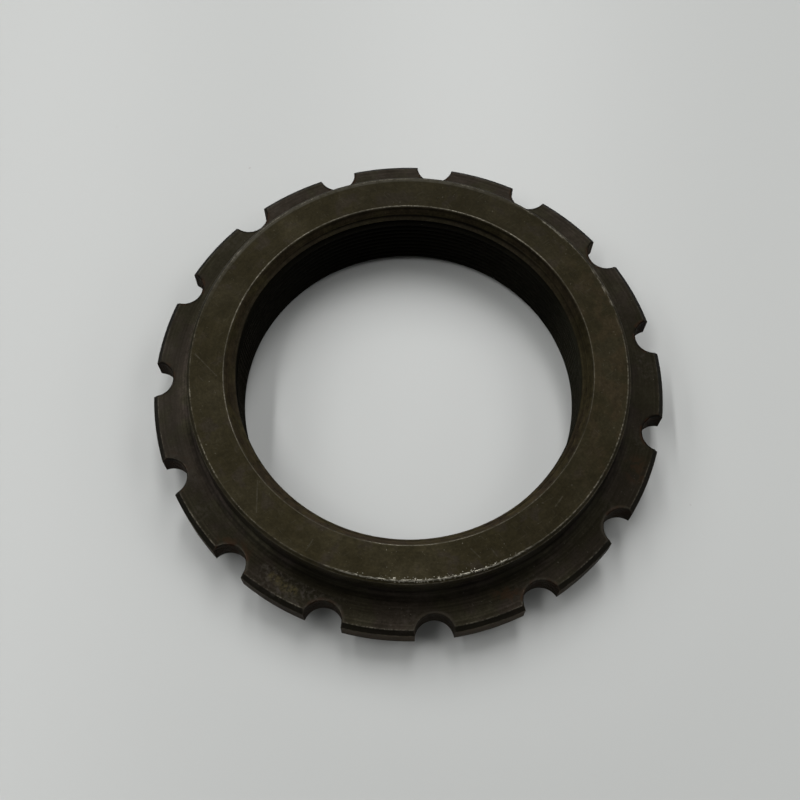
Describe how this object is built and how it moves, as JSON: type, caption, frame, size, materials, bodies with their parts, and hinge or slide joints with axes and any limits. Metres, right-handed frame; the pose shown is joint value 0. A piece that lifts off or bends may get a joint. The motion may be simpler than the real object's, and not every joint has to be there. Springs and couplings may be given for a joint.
{
  "type": "adjusting ring nut",
  "caption": "Notched ring nut: a toothed flange with a raised boss above, a low hub below and a large threaded bore.",
  "frame": {"origin": "on the nut's axis, at the seat face under the hub", "axes": "+Z along the thread's axis, out of the boss; +X through the middle of a tooth"},
  "size_m": [0.1398, 0.14, 0.026],
  "materials": {
    "blackened_steel": "satin"
  },
  "bodies": {
    "root": {"ring_nut": "blackened_steel"}
  },
  "joints": []
}
